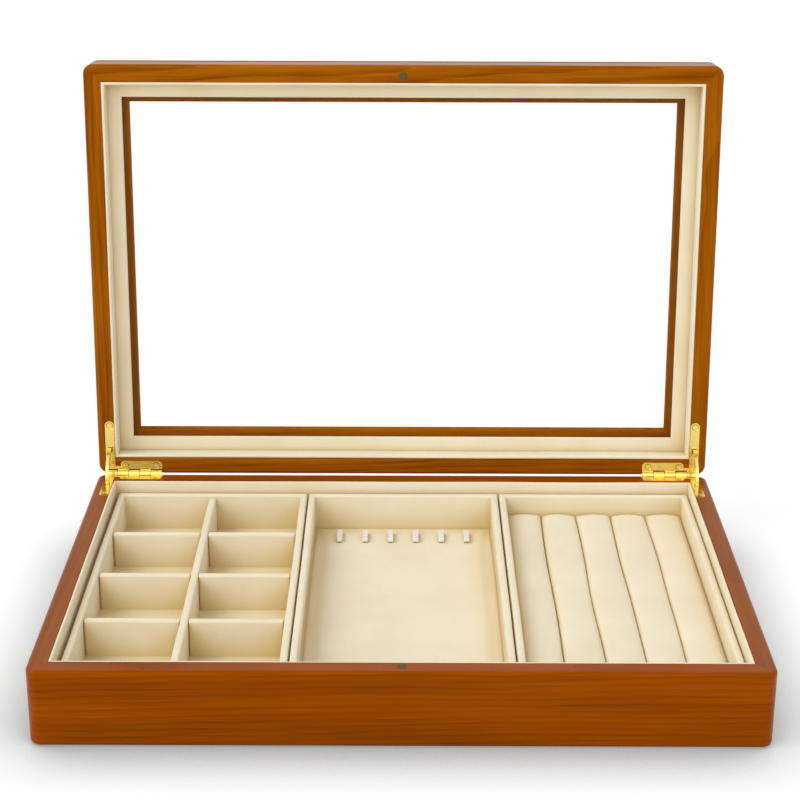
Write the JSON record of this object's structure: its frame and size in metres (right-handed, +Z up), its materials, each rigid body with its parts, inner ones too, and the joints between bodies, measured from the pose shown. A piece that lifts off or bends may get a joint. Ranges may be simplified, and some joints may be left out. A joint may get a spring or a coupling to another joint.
{
  "type": "wooden jewelry box",
  "caption": "Low stained-wood jewelry box with a glazed lid on quadrant hinges and lift-out fabric-lined trays for small pieces, necklaces and rings.",
  "frame": {"origin": "middle of the base's underside, on the surface that it stands on", "axes": "+X to the right along the front, +Y to the back towards the hinges, +Z up"},
  "size_m": [0.35, 0.2782, 0.2731],
  "materials": {
    "stained_wood": "satin lacquer over a warm brown stain",
    "bottom_board": "stained veneered board",
    "lining_fabric": "cream microfibre with a short soft nap",
    "brass": "polished",
    "plated_magnet": "dull plated",
    "window_glass": "clear float glass",
    "hook_plastic": "milky clear"
  },
  "bodies": {
    "base": {"base_back_liner": "lining_fabric", "base_back_wall": "stained_wood", "base_bottom_panel": "bottom_board", "base_catch_magnet": "plated_magnet", "base_floor_liner": "lining_fabric", "base_front_liner": "lining_fabric", "base_front_wall": "stained_wood", "base_left_liner": "lining_fabric", "base_left_wall": "stained_wood", "base_right_liner": "lining_fabric", "base_right_wall": "stained_wood", "hinge_leaf_base_left": "brass", "hinge_leaf_base_right": "brass", "hinge_pins": "brass", "hinge_screws_base": "brass"},
    "lid": {"hinge_leaf_lid_left": "brass", "hinge_leaf_lid_right": "brass", "hinge_screws_lid": "brass", "lid_back_liner": "lining_fabric", "lid_back_wall": "stained_wood", "lid_catch_magnet": "plated_magnet", "lid_front_liner": "lining_fabric", "lid_front_wall": "stained_wood", "lid_glass": "window_glass", "lid_glass_retainer": "lining_fabric", "lid_left_liner": "lining_fabric", "lid_left_wall": "stained_wood", "lid_right_liner": "lining_fabric", "lid_right_wall": "stained_wood", "lid_top_back_rail": "stained_wood", "lid_top_front_rail": "stained_wood", "lid_top_left_rail": "stained_wood", "lid_top_right_rail": "stained_wood"},
    "hinge_link_left": {"hinge_link_left": "brass"},
    "hinge_link_right": {"hinge_link_right": "brass"},
    "compartment_tray": {"compartment_tray_back_wall": "lining_fabric", "compartment_tray_floor": "lining_fabric", "compartment_tray_front_wall": "lining_fabric", "compartment_tray_left_wall": "lining_fabric", "compartment_tray_right_wall": "lining_fabric"},
    "divider_grid": {"divider_grid_cross": "lining_fabric", "divider_grid_long": "lining_fabric"},
    "necklace_tray": {"necklace_hooks": "hook_plastic", "necklace_pad": "lining_fabric", "necklace_tray_back_wall": "lining_fabric", "necklace_tray_floor": "lining_fabric", "necklace_tray_front_wall": "lining_fabric", "necklace_tray_left_wall": "lining_fabric", "necklace_tray_right_wall": "lining_fabric"},
    "ring_tray": {"ring_roll_1": "lining_fabric", "ring_roll_2": "lining_fabric", "ring_roll_3": "lining_fabric", "ring_roll_4": "lining_fabric", "ring_roll_5": "lining_fabric", "ring_tray_back_wall": "lining_fabric", "ring_tray_floor": "lining_fabric", "ring_tray_front_wall": "lining_fabric", "ring_tray_left_wall": "lining_fabric", "ring_tray_right_wall": "lining_fabric"}
  },
  "joints": [
    {"name": "lid_hinge", "type": "hinge", "parent": "base", "child": "lid", "pos_m": [0, 0.117, 0.04015], "axis": [-1, 0, 0], "range_deg": [-95, 0]},
    {"name": "hinge_link_left_swing", "type": "hinge", "parent": "base", "child": "hinge_link_left", "pos_m": [0, 0.117, 0.04015], "axis": [-1, 0, 0], "range_deg": [-47.5, 0]},
    {"name": "hinge_link_right_swing", "type": "hinge", "parent": "base", "child": "hinge_link_right", "pos_m": [0, 0.117, 0.04015], "axis": [-1, 0, 0], "range_deg": [-47.5, 0]},
    {"name": "compartment_tray_lift", "type": "slide", "parent": "base", "child": "compartment_tray", "axis": [0, 0, 1], "range_m": [0, 0.06]},
    {"name": "divider_grid_lift", "type": "slide", "parent": "compartment_tray", "child": "divider_grid", "axis": [0, 0, 1], "range_m": [0, 0.03]},
    {"name": "necklace_tray_lift", "type": "slide", "parent": "base", "child": "necklace_tray", "axis": [0, 0, 1], "range_m": [0, 0.06]},
    {"name": "ring_tray_lift", "type": "slide", "parent": "base", "child": "ring_tray", "axis": [0, 0, 1], "range_m": [0, 0.06]}
  ],
  "couplings": [
    {"joint": "hinge_link_left_swing", "follows": "lid_hinge", "ratio": 0.5},
    {"joint": "hinge_link_right_swing", "follows": "lid_hinge", "ratio": 0.5}
  ]
}
